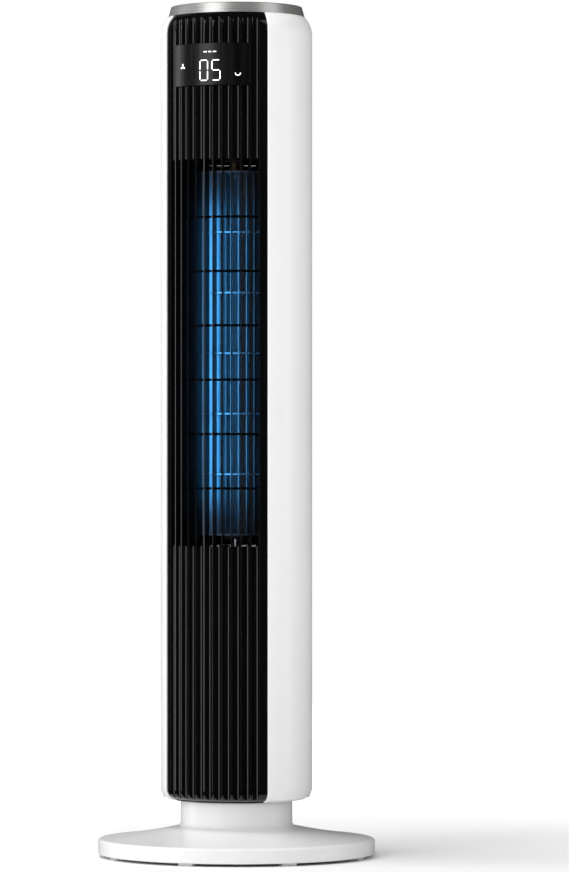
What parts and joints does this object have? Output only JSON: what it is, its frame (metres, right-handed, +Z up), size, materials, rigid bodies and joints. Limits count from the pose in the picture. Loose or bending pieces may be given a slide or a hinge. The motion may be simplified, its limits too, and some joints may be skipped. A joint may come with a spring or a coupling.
{
  "type": "tower fan",
  "caption": "Free-standing oscillating tower fan: tall round tower with fluted front outlet and digital display on a round weighted base.",
  "frame": {"origin": "centre of the feet, on the floor", "axes": "+Z up, -Y out of the front of the fan, +X to the fan's left as it faces forward"},
  "size_m": [0.3, 0.3, 0.92],
  "materials": {
    "shell_white": "satin white moulded plastic",
    "stand_white": "satin white moulded plastic",
    "insert_black": "glossy black moulded plastic",
    "window_black": "high-gloss smoked acrylic",
    "panel_black": "glossy black moulded plastic",
    "button_plastic": "satin dark grey plastic",
    "ring_metal": "brushed round the ring",
    "impeller_plastic": "dark grey glass-filled plastic",
    "dark_plastic": "matt black moulded plastic",
    "foot_rubber": "pale rubber",
    "black_rubber": "black rubber",
    "acetal": "natural acetal",
    "steel": "bright steel",
    "zinc_steel": "zinc-plated pressed steel",
    "bronze": "oil-filled bronze",
    "copper": "enamelled copper wire",
    "cast_iron": "painted cast iron",
    "circuit_board": "green solder mask",
    "module_white": "white moulded plastic"
  },
  "bodies": {
    "stand": {"base_cover": "stand_white", "base_plate": "stand_white", "ballast_ring": "cast_iron", "foot_pads": "foot_rubber", "neck": "stand_white", "slide_ring": "acetal", "ring_gear": "acetal", "pivot_post": "steel", "pivot_washer": "steel", "pivot_nut": "steel", "cord_gland": "black_rubber", "cover_screws": "steel", "neck_screws": "steel", "gear_screws": "steel"},
    "tower": {"body_floor": "dark_plastic", "rear_shell": "shell_white", "tower_screws": "steel", "inlet_grille": "shell_white", "front_grille": "insert_black", "display_window": "window_black", "display_board": "circuit_board", "digit_module": "module_white", "duct_floor": "dark_plastic", "duct_ceiling": "dark_plastic", "scroll_wall": "dark_plastic", "tongue_wall": "dark_plastic", "upper_bush": "bronze", "bush_holder": "black_rubber", "motor_lower_shell": "zinc_steel", "motor_upper_shell": "zinc_steel", "motor_bushes": "bronze", "motor_stator": "steel", "stator_windings": "copper", "motor_mounts": "black_rubber", "motor_screws": "steel", "step_motor": "zinc_steel", "board_bracket": "dark_plastic", "main_board": "circuit_board", "motor_capacitor": "module_white", "top_ring": "ring_metal", "top_panel": "panel_black", "control_board": "circuit_board"},
    "rotor": {"impeller": "impeller_plastic", "impeller_hub": "black_rubber", "impeller_pin": "steel", "motor_rotor": "zinc_steel", "rotor_shaft": "steel"},
    "pinion": {"drive_pinion": "acetal"},
    "timer_key": {"timer_button": "button_plastic"},
    "mode_key": {"mode_button": "button_plastic"},
    "power_key": {"power_button": "button_plastic"},
    "speed_key": {"speed_button": "button_plastic"},
    "swing_key": {"swing_button": "button_plastic"}
  },
  "joints": [
    {"name": "swing", "type": "hinge", "parent": "stand", "child": "tower", "pos_m": [0, 0, 0.062], "axis": [0, 0, 1], "range_deg": [-45, 45]},
    {"name": "rotor_spin", "type": "hinge", "parent": "tower", "child": "rotor", "pos_m": [0, 0, 0.322], "axis": [0, 0, 1], "continuous": true},
    {"name": "pinion_spin", "type": "hinge", "parent": "tower", "child": "pinion", "pos_m": [0, 0.03902, 0.062], "axis": [0, 0, 1], "range_deg": [-136, 136]},
    {"name": "timer_press", "type": "slide", "parent": "tower", "child": "timer_key", "axis": [0, 0, -1], "range_m": [0, 0.001], "stiffness_N_per_m": 300, "springref_m": -0.002},
    {"name": "mode_press", "type": "slide", "parent": "tower", "child": "mode_key", "axis": [0, 0, -1], "range_m": [0, 0.001], "stiffness_N_per_m": 300, "springref_m": -0.002},
    {"name": "power_press", "type": "slide", "parent": "tower", "child": "power_key", "axis": [0, 0, -1], "range_m": [0, 0.001], "stiffness_N_per_m": 300, "springref_m": -0.002},
    {"name": "speed_press", "type": "slide", "parent": "tower", "child": "speed_key", "axis": [0, 0, -1], "range_m": [0, 0.001], "stiffness_N_per_m": 300, "springref_m": -0.002},
    {"name": "swing_press", "type": "slide", "parent": "tower", "child": "swing_key", "axis": [0, 0, -1], "range_m": [0, 0.001], "stiffness_N_per_m": 300, "springref_m": -0.002}
  ],
  "couplings": [
    {"joint": "pinion_spin", "follows": "swing", "ratio": 3}
  ]
}
